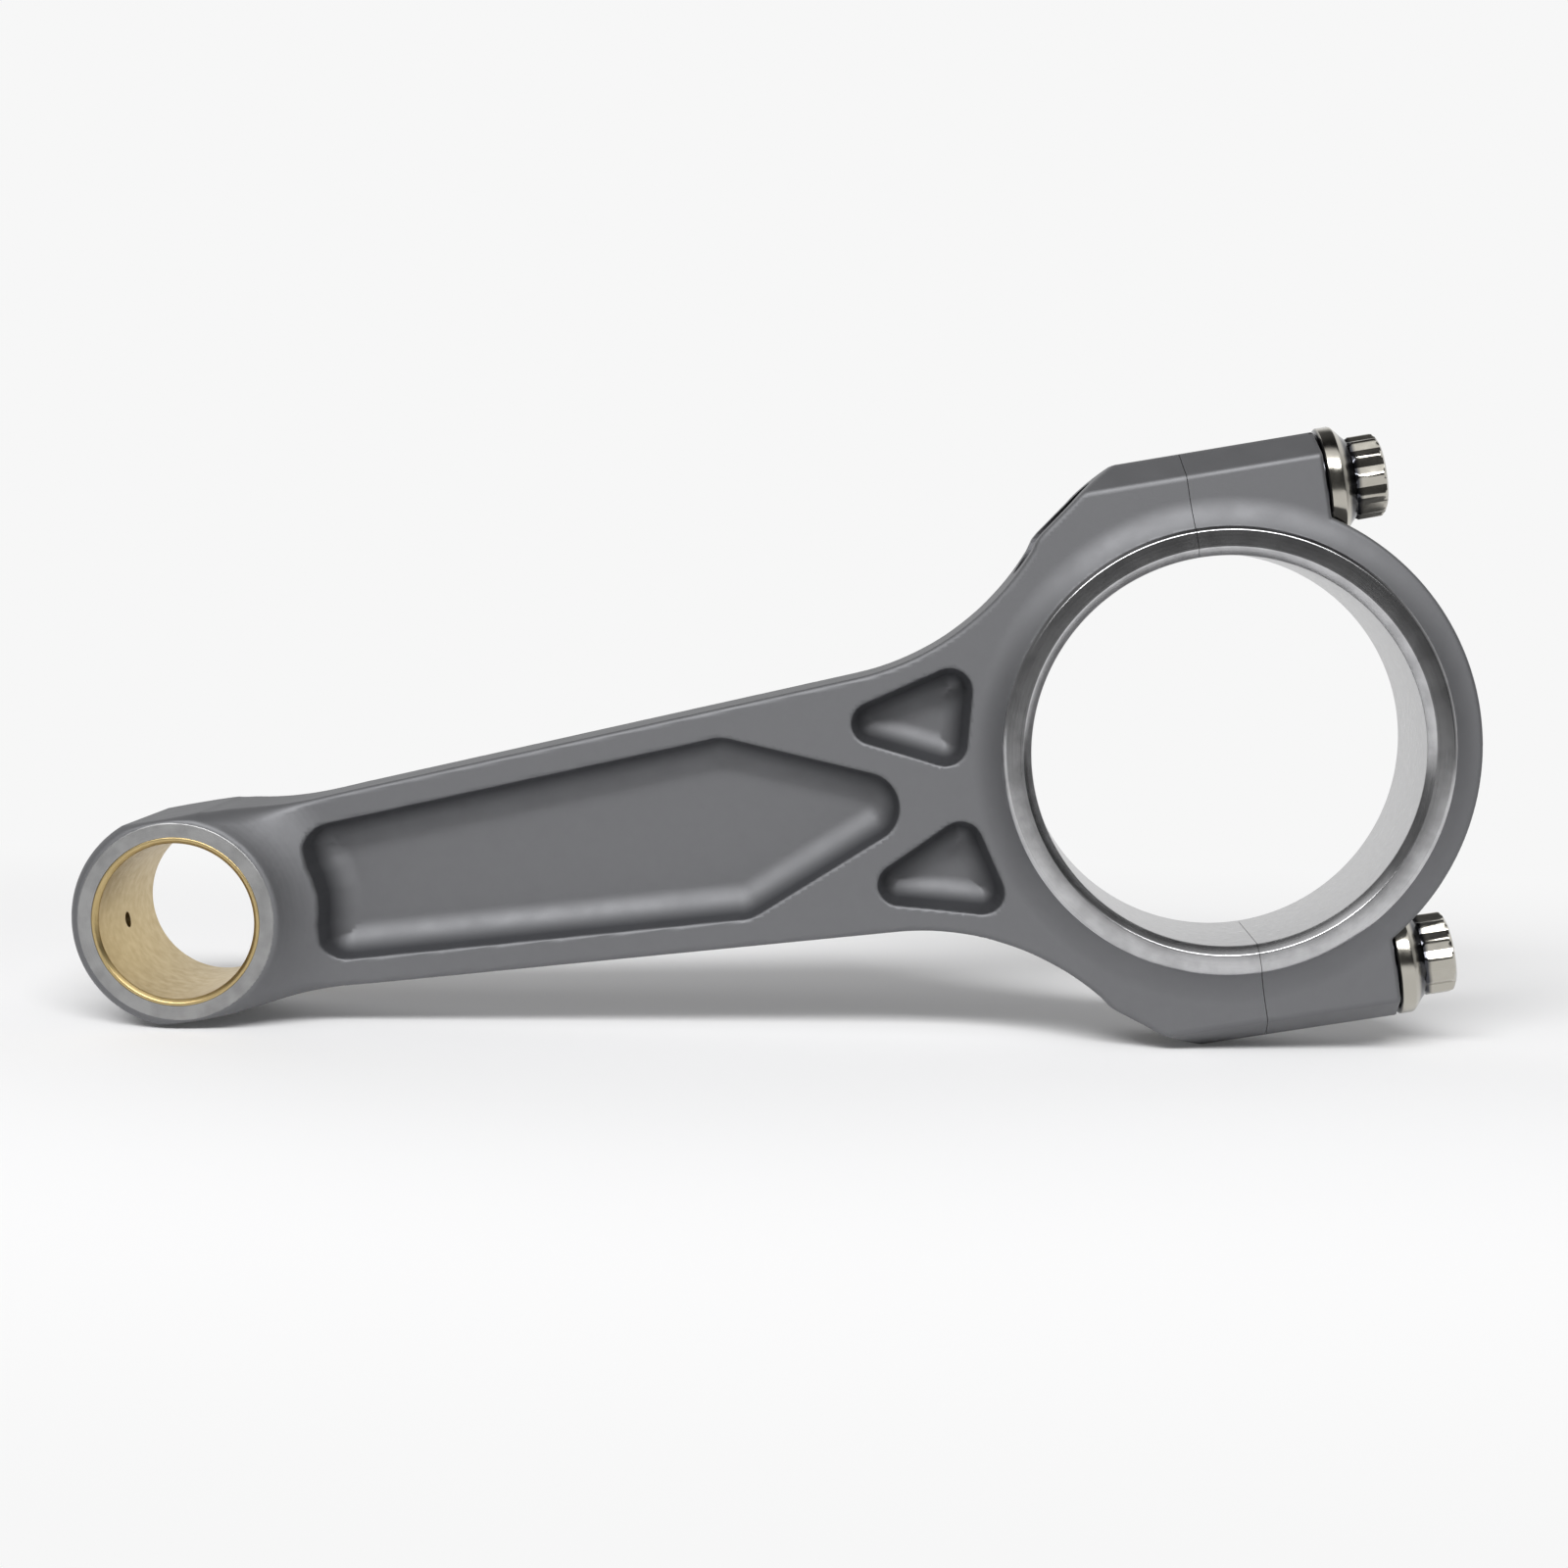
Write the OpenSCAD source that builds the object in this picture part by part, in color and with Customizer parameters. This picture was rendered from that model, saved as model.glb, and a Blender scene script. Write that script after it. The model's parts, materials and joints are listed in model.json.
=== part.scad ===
// Forged I-beam connecting rod, as an assembly of its real pieces.
// The rod is drawn in its own axes: X runs along the rod from the small end to the
// cap, Y runs along both bores, Z is across the rod. place() then leans it into the
// shared frame, lying on its edge on a level floor.

/* [Centres and bores] */

// distance between the two bore centres, mm
centre_distance = 155.575; // [140:0.005:170]
// crank bore diameter, mm
crank_bore_d = 56.515; // [52:0.005:60]
// wrist pin bore diameter in the bushing, mm
pin_bore_d = 23.165; // [20:0.005:25]
// chamfer at each mouth of the crank bore, mm
crank_chamfer = 1.2; // [0.5:0.05:2]
// oil hole through the small end, mm
oil_hole_d = 2.4; // [1.5:0.1:3.5]

/* [Widths along the bores] */

// width over the two machined thrust rings, mm
big_end_w = 23.88; // [21:0.01:27]
// width of the bolt bosses and of the cap, mm
boss_w = 19.6; // [17:0.1:21]
// thickness of the beam flanges, mm
beam_t = 15.6; // [13:0.1:18]
// width of the small end, mm
small_end_w = 27.5; // [24:0.1:29]

/* [Outline] */

// outer radius of the small end, mm
eye_r = 16.2; // [15.5:0.05:18]
// radius of the flat machined face of the small end, mm
eye_face_r = 14.55; // [14:0.05:15.3]
// half height of the beam at its narrowest, mm
neck_z = 14.15; // [12:0.05:15]
// half height of the beam where the shoulder begins, mm
beam_z = 18.98; // [17:0.05:21]
// radius of the concave shoulder between beam and bolt boss, mm
shoulder_r = 40; // [30:1:50]
// distance of the boss flats from the rod axis, mm
boss_z = 43.35; // [42:0.05:45]
// distance at which the boss bevel meets the side face, mm
bevel_z = 40; // [38:0.1:42]
// half width of the flat on top of each boss, mm
boss_flat_y = 3.8; // [2:0.1:7]
// outer radius of the thrust ring, mm
ring_r = 32.4; // [31:0.1:34]
// outer radius of the cap, mm
cap_r = 36.5; // [35:0.1:38]
// distance of the cap's bolt seats from the parting line, mm
seat_x = 19.5; // [17:0.1:22]

/* [Pockets] */

// depth of the long pocket on each side, mm
main_depth = 5.4; // [2:0.1:6]
// depth of the two small pockets on each side, mm
corner_depth = 5.8; // [2:0.1:6.2]

/* [Bushing, bolts and sleeves] */

// outer diameter of the bronze bushing, mm
bush_od = 25.2; // [24:0.05:27]
// distance of the bolt axes from the rod axis, mm
bolt_z = 35.7; // [35:0.05:37]
// bolt thread diameter, mm
bolt_d = 11.1; // [9:0.05:12]
// bolt length under the head, mm
bolt_l = 33; // [28:0.1:34]
// flange diameter of the bolt head, mm
flange_d = 16.2; // [14:0.1:17]
// diameter over the twelve points of the bolt head, mm
head_d = 12.3; // [11:0.1:14]
// outer diameter of the alignment sleeves, mm
sleeve_od = 13.2; // [12.6:0.05:13.6]
// length of the alignment sleeves, mm
sleeve_l = 8; // [5:0.5:12]

/* [Hidden] */

crank_r = crank_bore_d / 2;
big_h = big_end_w / 2;
boss_h = boss_w / 2;
beam_h = beam_t / 2;
small_h = small_end_w / 2;
eye_x = -centre_distance;
// clearances: pressed fits, the sleeves in the cap, the bolts and the bolt flanges
fit_gap = 0.03;
slide_gap = 0.05;
bolt_gap = 0.15;
spot_gap = 0.6;
recess_gap = 0.1;
hole_r = bolt_d / 2 + bolt_gap;
sleeve_r = sleeve_od / 2;
spot_r = flange_d / 2 + spot_gap;
// how far a cutter runs past the face that it cuts
over = 1;
// where the boss flat starts; the rod rests on this corner and on its small end
corner_x = -9.5;
rest_reach = sqrt(pow(centre_distance + corner_x, 2) + boss_z * boss_z);
rest_tilt = acos(eye_r / rest_reach) - atan2(centre_distance + corner_x, boss_z);

// cubic between two knots [x, z, slope]
function blend(a, b, t) = let (h = b[0] - a[0])
    [a[0] + h * t,
     (2 * t * t * t - 3 * t * t + 1) * a[1] + (t * t * t - 2 * t * t + t) * h * a[2]
     + (3 * t * t - 2 * t * t * t) * b[1] + (t * t * t - t * t) * h * b[2]];
function arc(cx, cz, r, a0, a1, n) = [for (i = [0 : n])
    let (a = a0 + (a1 - a0) * i / n) [cx + r * cos(a), cz + r * sin(a)]];
function flip(pts) = [for (i = [len(pts) - 1 : -1 : 0]) [pts[i][0], -pts[i][1]]];

// the beam widens steadily from its neck to the shoulder, where its half height is beam_z
beam_slope = 0.0575;
beam_start_x = -128;
shoulder_x = -51.5;
beam_start_z = beam_z - beam_slope * (shoulder_x - beam_start_x);
// the neck leaves the small end's circle on a tangent and runs out into the beam
neck_in = 5.2;
neck_up = sqrt(eye_r * eye_r - neck_in * neck_in);
neck_a = [eye_x + neck_in, neck_up, -neck_in / neck_up];
neck_b = [-146, neck_z + 0.68, -0.12];
neck_c = [-136.5, neck_z, 0];
neck_d = [beam_start_x, beam_start_z, beam_slope];
// centre of the shoulder arc, tangent to the beam, and the angle at which it ends
shoulder_a = atan(beam_slope);
shoulder_cx = shoulder_x - shoulder_r * sin(shoulder_a);
shoulder_cz = beam_z + shoulder_r * cos(shoulder_a);
shoulder_end_a = 319.6;
// where the bolt hole comes out of the shoulder, and the round on the boss above it
hole_mouth = [[-22.3, 34.55], [-21.4, 35.35], [-16.3, 39.1]];
boss_round = [3.66, 14.74];
boss_round_r = 31.5;

// upper half of the rod body's outline, from the tip of the small end to the parting line
rod_half = concat(
    arc(eye_x, 0, eye_r, 180, 111, 26),
    [for (i = [0 : 6]) blend(neck_a, neck_b, i / 6)],
    [for (i = [1 : 8]) blend(neck_b, neck_c, i / 8)],
    [for (i = [1 : 5]) blend(neck_c, neck_d, i / 5)],
    arc(shoulder_cx, shoulder_cz, shoulder_r, 270 + shoulder_a, shoulder_end_a, 24),
    hole_mouth,
    arc(boss_round[0], boss_round[1], boss_round_r, 129.3, 114.7, 8),
    [[corner_x, boss_z], [0, boss_z]]);

// half outline of the long pocket: bowed small-end side, corner, long side, bend and point
main_half = concat(
    [[-134.95, 0], [-135.1, 1.4], [-135.3, 2.8], [-135.75, 4.4]],
    arc(-132.1, 6.33, 4, 166, 93.5, 8),
    [[-74.2, 13.55]],
    arc(-73.6, 6.45, 7.2, 90, 63.5, 5),
    arc(-53.3, 0, 5.3, 62.5, 0, 9));

// outline of the upper corner pocket, a triangle with round corners
corner_r = 3.2;
corner_pocket = concat(
    arc(-49.9, 12.05, corner_r, 248, 104, 12),
    arc(-38.2, 15, corner_r, 102, -14, 9),
    arc(-40.1, 7.4, corner_r, -14, -112, 8));

// half thickness of the forging along the rod, which swells between these two X positions
swell = [-48, -14];
side_half = concat(
    [[eye_x - eye_r - over, beam_h], [swell[0], beam_h]],
    [for (i = [1 : 10]) blend([swell[0], beam_h, 0], [swell[1], boss_h, 0], i / 10)],
    [[cap_r + over, boss_h]]);

module place() {
    rotate([0, -rest_tilt, 0])
        children();
}

// extrude an X-Z outline between two Y positions
module slab(y0, y1) {
    translate([0, y1, 0])
        rotate([90, 0, 0])
            linear_extrude(height = y1 - y0)
                children();
}

module along_y(x, z) {
    translate([x, 0, z])
        rotate([90, 0, 0])
            children();
}

module along_x(x, z) {
    translate([x, 0, z])
        rotate([0, 90, 0])
            children();
}

module rod_outline() {
    polygon(concat(rod_half, flip(rod_half)));
}

module cap_outline() {
    polygon(concat(
        [[0, -boss_z], [seat_x, -boss_z]],
        arc(0, 0, cap_r, -acos(seat_x / cap_r), acos(seat_x / cap_r), 48),
        [[seat_x, boss_z], [0, boss_z]]));
}

// the forging's thickness, seen from above
module side_profile() {
    linear_extrude(height = 2 * (boss_z + over), center = true)
        polygon(concat(side_half, flip(side_half)));
}

// section across the bolt bosses, with its bevelled corners
module boss_section() {
    rotate([90, 0, 90])
        linear_extrude(height = 3 * centre_distance, center = true)
            polygon([
                [-boss_h, -bevel_z], [-boss_flat_y, -boss_z], [boss_flat_y, -boss_z],
                [boss_h, -bevel_z], [boss_h, bevel_z], [boss_flat_y, boss_z],
                [-boss_flat_y, boss_z], [-boss_h, bevel_z]]);
}

// turned thrust ring with its edge chamfer and cove
ring_edge = 0.6;
ring_bore_r = crank_r - 2;
ring_cove = [ring_r + 4.5, 14];
ring_cove_r = 5.2;
module thrust_ring() {
    rotate([90, 0, 0])
        rotate_extrude($fn = 128)
            polygon(concat(
                [[ring_bore_r, -big_h], [ring_r - ring_edge, -big_h], [ring_r, ring_edge - big_h]],
                arc(ring_cove[0], -ring_cove[1], ring_cove_r, 149, 92, 8),
                arc(ring_cove[0], ring_cove[1], ring_cove_r, -92, -149, 8),
                [[ring_r, big_h - ring_edge], [ring_r - ring_edge, big_h], [ring_bore_r, big_h]]));
}

// turned small end: its rounded edge and the cove, tangent to it, that dips into the beam
eye_edge_r = 1;
eye_cove_l = 11.5;
eye_dip = 0.3;
eye_drop = small_h - beam_h + eye_dip;
eye_lean = 2 * atan(eye_drop / eye_cove_l);
eye_cove_r = eye_drop / (1 - cos(eye_lean)) - eye_edge_r;
module eye_turning() {
    cove_x = eye_face_r + eye_cove_l;
    cove_y = small_h - eye_drop + eye_cove_r;
    upper = concat(
        arc(cove_x, cove_y, eye_cove_r, -90, -90 - eye_lean, 10),
        arc(eye_face_r, small_h - eye_edge_r, eye_edge_r, 90 - eye_lean, 90, 4));
    along_y(eye_x, 0)
        rotate_extrude($fn = 96)
            polygon(concat([[0, -small_h]], flip(upper), upper, [[0, small_h]]));
}

// keeps the ring's cove off the bolt bosses
module boss_limit() {
    limit = 37;
    translate([-100, -big_h, -limit])
        cube([200, big_end_w, 2 * limit]);
}

module crank_bore() {
    mouth_r = crank_r + crank_chamfer + over;
    rotate([90, 0, 0])
        rotate_extrude($fn = 128)
            polygon([
                [0, -big_h - over], [mouth_r, -big_h - over],
                [crank_r, crank_chamfer - big_h], [crank_r, big_h - crank_chamfer],
                [mouth_r, big_h + over], [0, big_h + over]]);
}

// bolt hole and sleeve recess shared by both halves; the recess is a little deeper than the sleeve
module bolt_hole(z) {
    recess = sleeve_l / 2 + recess_gap;
    along_x(-50, z)
        cylinder(r = hole_r, h = 100, $fn = 48);
    along_x(-recess, z)
        cylinder(r = sleeve_r + fit_gap, h = recess, $fn = 48);
    along_x(0, z)
        cylinder(r = sleeve_r + slide_gap, h = recess, $fn = 48);
}

// spot face under a bolt flange, cut clear through the cap's crown
module bolt_seat(z) {
    along_x(seat_x, z)
        cylinder(r = spot_r, h = 30, $fn = 64);
}

// notch for the bearing shell's locating tang, half in each part
notch_r = 1.7;
notch_l = 5.2;
notch_y = -6.2;
module tang_notch() {
    along_x(-notch_l / 2, crank_r)
        translate([0, notch_y, 0])
            cylinder(r = notch_r, h = notch_l, $fn = 24);
}

// one side's pockets, cut from clear of the swelling flank
module pockets(side) {
    start = -boss_h - over;
    scale([1, side, 1]) {
        slab(start, main_depth - beam_h)
            polygon(concat(main_half, flip(main_half)));
        slab(start, corner_depth - beam_h)
            polygon(corner_pocket);
        slab(start, corner_depth - beam_h)
            polygon(flip(corner_pocket));
    }
}

// drilling through the small end's tip, for the body and the bushing alike
module oil_hole() {
    along_x(eye_x - 20, 0)
        cylinder(d = oil_hole_d, h = 12, $fn = 24);
}

module rod_body() {
    color([0.47, 0.47, 0.48])
        place()
            difference() {
                union() {
                    intersection() {
                        slab(-small_h, small_h)
                            rod_outline();
                        side_profile();
                        boss_section();
                    }
                    intersection() {
                        slab(-big_h, big_h)
                            rod_outline();
                        boss_limit();
                        thrust_ring();
                    }
                    intersection() {
                        slab(-small_h - over, small_h + over)
                            rod_outline();
                        eye_turning();
                    }
                }
                pockets(1);
                pockets(-1);
                crank_bore();
                bolt_hole(bolt_z);
                bolt_hole(-bolt_z);
                tang_notch();
                along_y(eye_x, 0)
                    cylinder(r = bush_od / 2 + fit_gap, h = 2 * (small_h + over), center = true, $fn = 96);
                oil_hole();
            }
}

module rod_cap() {
    color([0.47, 0.47, 0.48])
        place()
            difference() {
                union() {
                    intersection() {
                        slab(-boss_h, boss_h)
                            cap_outline();
                        boss_section();
                    }
                    intersection() {
                        slab(-big_h, big_h)
                            cap_outline();
                        thrust_ring();
                    }
                }
                crank_bore();
                bolt_hole(bolt_z);
                bolt_hole(-bolt_z);
                tang_notch();
                bolt_seat(bolt_z);
                bolt_seat(-bolt_z);
            }
}

module pin_bushing() {
    pin_r = pin_bore_d / 2;
    bush_r = bush_od / 2;
    mouth = 0.5;
    edge = 0.2;
    color([0.72, 0.62, 0.42])
        place()
            difference() {
                along_y(eye_x, 0)
                    rotate_extrude($fn = 96)
                        polygon([
                            [pin_r, mouth - small_h], [pin_r + mouth, -small_h],
                            [bush_r - edge, -small_h], [bush_r, edge - small_h],
                            [bush_r, small_h - edge], [bush_r - edge, small_h],
                            [pin_r + mouth, small_h], [pin_r, small_h - mouth]]);
                oil_hole();
            }
}

// threaded and waisted shank with the bolt's flange; heights run along X
thread_end_x = -2.6;
waist = [-1.2, 11.5];
collar_x = 12.8;
module bolt_shank() {
    r = bolt_d / 2;
    flange_r = flange_d / 2;
    tip_x = seat_x - bolt_l;
    tip = 1.2;
    waist_r = r - 0.9;
    edge = 0.5;
    top_edge = 0.3;
    cone_x = seat_x + flange_h + cone_h;
    rotate_extrude($fn = 64)
        polygon([
            [0, tip_x], [r - tip, tip_x], [r, tip_x + tip], [r, thread_end_x],
            [waist_r, waist[0]], [waist_r, waist[1]], [r, collar_x], [r, seat_x],
            [flange_r - edge, seat_x], [flange_r, seat_x + edge], [flange_r, seat_x + flange_h],
            [flange_r - top_edge, seat_x + flange_h + top_edge], [head_neck_r, cone_x], [0, cone_x]]);
}

// twelve rounded points, rising out of the flange to a chamfered top
flange_h = 3;
cone_h = 1.6;
head_h = 9.5;
head_chamfer_h = 1.3;
head_neck_r = head_d / 2 - 0.7;
flute = 0.55;
points_rise = 0.6;
module bolt_head() {
    r = head_d / 2;
    base_x = seat_x + flange_h;
    points_x = base_x + points_rise;
    top_x = seat_x + head_h;
    intersection() {
        translate([0, 0, points_x])
            linear_extrude(height = top_x - points_x)
                polygon([for (i = [0 : 95])
                    let (a = i * 360 / 96, reach = r - flute + flute * cos(12 * a))
                    [reach * cos(a), reach * sin(a)]]);
        rotate_extrude($fn = 64)
            polygon([
                [0, base_x], [r + over, base_x], [r + over, top_x - head_chamfer_h],
                [head_neck_r, top_x], [0, top_x]]);
    }
}

// twelve-point cap screw, head towards +X, seated on the cap
module cap_bolt(z) {
    along_x(0, z) {
        bolt_shank();
        bolt_head();
    }
}

module upper_cap_bolt() {
    color([0.62, 0.61, 0.57])
        place()
            cap_bolt(bolt_z);
}

module lower_cap_bolt() {
    color([0.62, 0.61, 0.57])
        place()
            cap_bolt(-bolt_z);
}

// ring dowel pressed into the rod and sliding in the cap
module alignment_sleeve(z) {
    half = sleeve_l / 2;
    inner_r = hole_r + recess_gap;
    edge = 0.25;
    along_x(0, z)
        rotate_extrude($fn = 64)
            polygon([
                [inner_r, -half], [sleeve_r - edge, -half], [sleeve_r, edge - half],
                [sleeve_r, half - edge], [sleeve_r - edge, half], [inner_r, half]]);
}

module upper_alignment_sleeve() {
    color([0.55, 0.56, 0.58])
        place()
            alignment_sleeve(bolt_z);
}

module lower_alignment_sleeve() {
    color([0.55, 0.56, 0.58])
        place()
            alignment_sleeve(-bolt_z);
}

rod_body();
rod_cap();
pin_bushing();
upper_cap_bolt();
lower_cap_bolt();
upper_alignment_sleeve();
lower_alignment_sleeve();
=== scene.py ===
"""The looks of a forged connecting rod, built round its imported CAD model.

The forged bodies are written as distance fields in the rod's own axes, in millimetres: X runs
along the rod from the small end to the cap, Y along both bores and Z across the rod. A net of
quads is laid over each field, drilled and sawn as the real forging is, and leaned into the
shared frame. What is turned on a lathe is a lofted mesh.
"""
import json
import math

import bmesh
import bpy
import numpy as np
from mathutils import Matrix, Vector


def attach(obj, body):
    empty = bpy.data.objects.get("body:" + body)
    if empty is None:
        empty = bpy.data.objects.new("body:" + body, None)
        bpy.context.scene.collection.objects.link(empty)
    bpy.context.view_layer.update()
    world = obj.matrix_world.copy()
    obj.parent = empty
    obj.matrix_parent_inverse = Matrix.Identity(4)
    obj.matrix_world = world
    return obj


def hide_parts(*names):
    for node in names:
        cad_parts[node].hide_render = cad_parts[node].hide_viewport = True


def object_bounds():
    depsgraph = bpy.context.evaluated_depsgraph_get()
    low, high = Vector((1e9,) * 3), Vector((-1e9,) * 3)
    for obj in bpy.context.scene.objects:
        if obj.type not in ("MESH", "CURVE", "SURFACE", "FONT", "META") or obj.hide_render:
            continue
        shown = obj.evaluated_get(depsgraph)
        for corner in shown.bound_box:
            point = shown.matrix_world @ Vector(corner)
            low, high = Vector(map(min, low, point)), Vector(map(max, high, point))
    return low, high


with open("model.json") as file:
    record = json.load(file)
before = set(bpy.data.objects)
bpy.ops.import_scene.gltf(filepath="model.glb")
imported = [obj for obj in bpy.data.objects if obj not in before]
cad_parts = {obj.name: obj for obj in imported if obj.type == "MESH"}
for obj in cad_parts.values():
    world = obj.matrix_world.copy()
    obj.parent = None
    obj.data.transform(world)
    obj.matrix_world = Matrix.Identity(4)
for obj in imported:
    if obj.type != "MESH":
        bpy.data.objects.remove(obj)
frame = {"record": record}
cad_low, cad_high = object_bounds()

MM = 0.001

# ---------------------------------------------------------------- sizes, in millimetres

mounts = {mount["name"]: mount for mount in frame["record"]["mounts"]}
pin_x, _, pin_z = mounts["pin_bore"]["pos_m"]
CRANK_R = mounts["crank_bore"]["dims"]["r_mm"]
PIN_R = mounts["pin_bore"]["dims"]["r_mm"]
BIG_Y = abs(mounts["thrust_face_front"]["pos_m"][1]) / MM
SMALL_Y = abs(mounts["small_end_face_front"]["pos_m"][1]) / MM
CENTRES = math.hypot(pin_x, pin_z) / MM
TILT = math.atan2(pin_z, pin_x) % math.pi
FLOOR_Z = cad_low.z / MM

EYE_X = -CENTRES       # small end's axis
EYE_R = 16.2           # outer radius of the small end
EYE_FACE_R = 14.55     # outer radius of its machined face
EYE_EDGE_R = 1.0       # round on the face's edge
EYE_COVE = 11.5        # cove from the face's edge to the beam
BUSH_R = 12.6          # outer radius of the bushing
OIL_R = 1.2            # oil hole
NECK_IN = 5.2          # where the neck leaves the small end's circle, from its axis
CRANK_CHAMFER = 1.2
RING_R = 32.4          # outer radius of the thrust ring
RING_EDGE = 0.55       # chamfer on the thrust ring's outer edge
RING_PROUD = 0.1       # how far the machined ring overhangs the cove
UNDER_RING = 0.6       # width of the forging's flat top under the ring
COVE_WIDTH = 4.4       # cove from the ring to the flank
BORED_R = 28.6         # rough bore, behind the machined skin
BEAM_Y = 7.8           # half thickness of the beam
BOSS_Y = 9.8           # half thickness of the bolt bosses and the cap
NECK_Z = 14.15         # half height of the neck
BEAM_Z = 18.98         # half height where the shoulder starts
BEAM_SLOPE = 0.0575    # how fast the beam widens
BEAM_START_X = -128.0  # where it starts to widen
SWELL = (-48, -14)     # X range in which the forging thickens from beam to bosses
SHOULDER_X = -51.5     # where the shoulder starts
SHOULDER_R = 40.0
SHOULDER_END = 319.6   # angle at which its arc stops
HOLE_MOUTH = [(-22.3, 34.55), (-21.4, 35.35), (-16.3, 39.1)]   # where the bolt hole comes out
BOSS_ROUND = (3.66, 14.74, 31.5)                               # the round above it: x, z, radius
BOSS_Z = 43.35         # half height over the bosses
BEVEL_Z = 40.0         # where the boss bevel starts
BEVEL_Y = 3.8          # half width of the flat left on the boss
CORNER_X = -9.5        # where the boss flat starts
SEAT_X = 19.5          # bolt seats
CAP_R = 36.5
POCKET_DRAFT = 16      # degrees
POCKET_LIP = 0.3
CORNER_POCKET_R = 3.2
EDGE_R = 0.7           # round on the forging's edges
NECK_EDGE_R = 1.5      # what the neck's edges have on top of that
NECK_EDGE_X = -143
NECK_EDGE_L = 6
BEVEL_R = 0.4          # round on the edges of the boss bevels
BOLT_Z = 35.7
BOLT_R = 5.55
HOLE_R = 5.7
SLEEVE_R = 6.6
SLEEVE_L = 8.0
RECESS_GAP = 0.1       # its room at the end of its recess and round the bolt hole
FLANGE_R = 8.1
HEAD_R = 6.15
BOLT_L = 33.0
BOLT_END = SEAT_X - BOLT_L
THREAD_TOP = -2.6      # where the thread runs out
THREAD_FADE = 1.2      # over what length it fades at each end
PITCH = 1.27           # of the bolt's thread
NOTCH = (-6.2, 1.7, 5.2)    # notch for the bearing shell's tang: y, radius, length
UNDERCUT_X = SEAT_X + 2.5   # where the bolt's flange falls away
HEAD_X = SEAT_X + 5.2       # where its twelve points start
SAW_GAP = 0.05         # each half stops this short of the parting plane
SAW_STOCK = 2.0        # what each forging has to spare there before it is sawn
INSET = 0.05           # how far a turned skin's hidden edges reach into the forging
NET_STEP = 0.5         # size of a quad on the rod's forging
CAP_NET_STEP = 0.45


def arc(cx, cz, radius, start, stop, steps):
    """Points along an arc, angles in degrees."""
    angles = np.radians(np.linspace(start, stop, steps + 1))
    return [(cx + radius * math.cos(a), cz + radius * math.sin(a)) for a in angles]


def knots(a, b, steps):
    """Points along the cubic between two knots (x, z, slope), the first left out."""
    width = b[0] - a[0]
    points = []
    for t in np.linspace(0, 1, steps + 1)[1:]:
        rise = (2 * t ** 3 - 3 * t ** 2 + 1) * a[1] + (t ** 3 - 2 * t ** 2 + t) * width * a[2]
        rise += (3 * t ** 2 - 2 * t ** 3) * b[1] + (t ** 3 - t ** 2) * width * b[2]
        points.append((a[0] + width * t, rise))
    return points


def rod_outline():
    """Upper half of the rod body's outline, from the small end's tip past the parting plane."""
    neck_up = math.sqrt(EYE_R ** 2 - NECK_IN ** 2)
    beam_start_z = BEAM_Z - BEAM_SLOPE * (SHOULDER_X - BEAM_START_X)
    neck = [(EYE_X + NECK_IN, neck_up, -NECK_IN / neck_up), (-146, NECK_Z + 0.68, -0.12),
            (-136.5, NECK_Z, 0), (BEAM_START_X, beam_start_z, BEAM_SLOPE)]
    lean = math.atan(BEAM_SLOPE)
    shoulder_x = SHOULDER_X - SHOULDER_R * math.sin(lean)
    shoulder_z = BEAM_Z + SHOULDER_R * math.cos(lean)
    points = arc(EYE_X, 0, EYE_R, 180, 111, 26)
    for a, b in zip(neck, neck[1:]):
        points += knots(a, b, 8)
    points += arc(shoulder_x, shoulder_z, SHOULDER_R, 270 + math.degrees(lean), SHOULDER_END, 24)
    points += HOLE_MOUTH + arc(*BOSS_ROUND, 129.3, 114.7, 8)
    return points + [(CORNER_X, BOSS_Z), (SAW_STOCK, BOSS_Z), (SAW_STOCK, 0)]


def cap_outline():
    """Upper half of the cap's outline, from behind the parting plane to its crown."""
    seat_angle = math.degrees(math.acos(SEAT_X / CAP_R))
    points = [(-SAW_STOCK, 0), (-SAW_STOCK, BOSS_Z), (SEAT_X, BOSS_Z)]
    return points + arc(0, 0, CAP_R, seat_angle, 0, 40)


def eye_profile():
    """Turned side of the small end, (radius, y): face, rounded edge and the cove to the beam."""
    face = SMALL_Y - INSET
    beam_end = 240
    drop = face - BEAM_Y
    lean = 2 * math.degrees(math.atan(drop / EYE_COVE))
    cove_r = drop / (1 - math.cos(math.radians(lean))) - EYE_EDGE_R
    points = [(0, face)]
    points += arc(EYE_FACE_R, face - EYE_EDGE_R, EYE_EDGE_R, 90, 90 - lean, 10)
    points += arc(EYE_FACE_R + EYE_COVE, BEAM_Y + cove_r, cove_r, 270 - lean, 270, 14)[1:]
    return points + [(beam_end, BEAM_Y), (beam_end, 0)]


MAIN_POCKET = [(-134.95, 0), (-135.1, 1.4), (-135.3, 2.8), (-135.75, 4.4)]
MAIN_POCKET += arc(-132.1, 6.33, 4, 166, 93.5, 8) + [(-74.2, 13.55)]
MAIN_POCKET += arc(-73.6, 6.45, 7.2, 90, 63.5, 5) + arc(-53.3, 0, 5.3, 62.5, 0, 9)
CORNER_POCKET = arc(-49.9, 12.05, CORNER_POCKET_R, 248, 104, 12)
CORNER_POCKET += arc(-38.2, 15, CORNER_POCKET_R, 102, -14, 9)
CORNER_POCKET += arc(-40.1, 7.4, CORNER_POCKET_R, -14, -112, 8)
CORNER_POCKET += CORNER_POCKET[:1]
ROD_OUTLINE = rod_outline()
CAP_OUTLINE = cap_outline()
EYE_PROFILE = eye_profile()

# ---------------------------------------------------------------- distance fields


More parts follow.
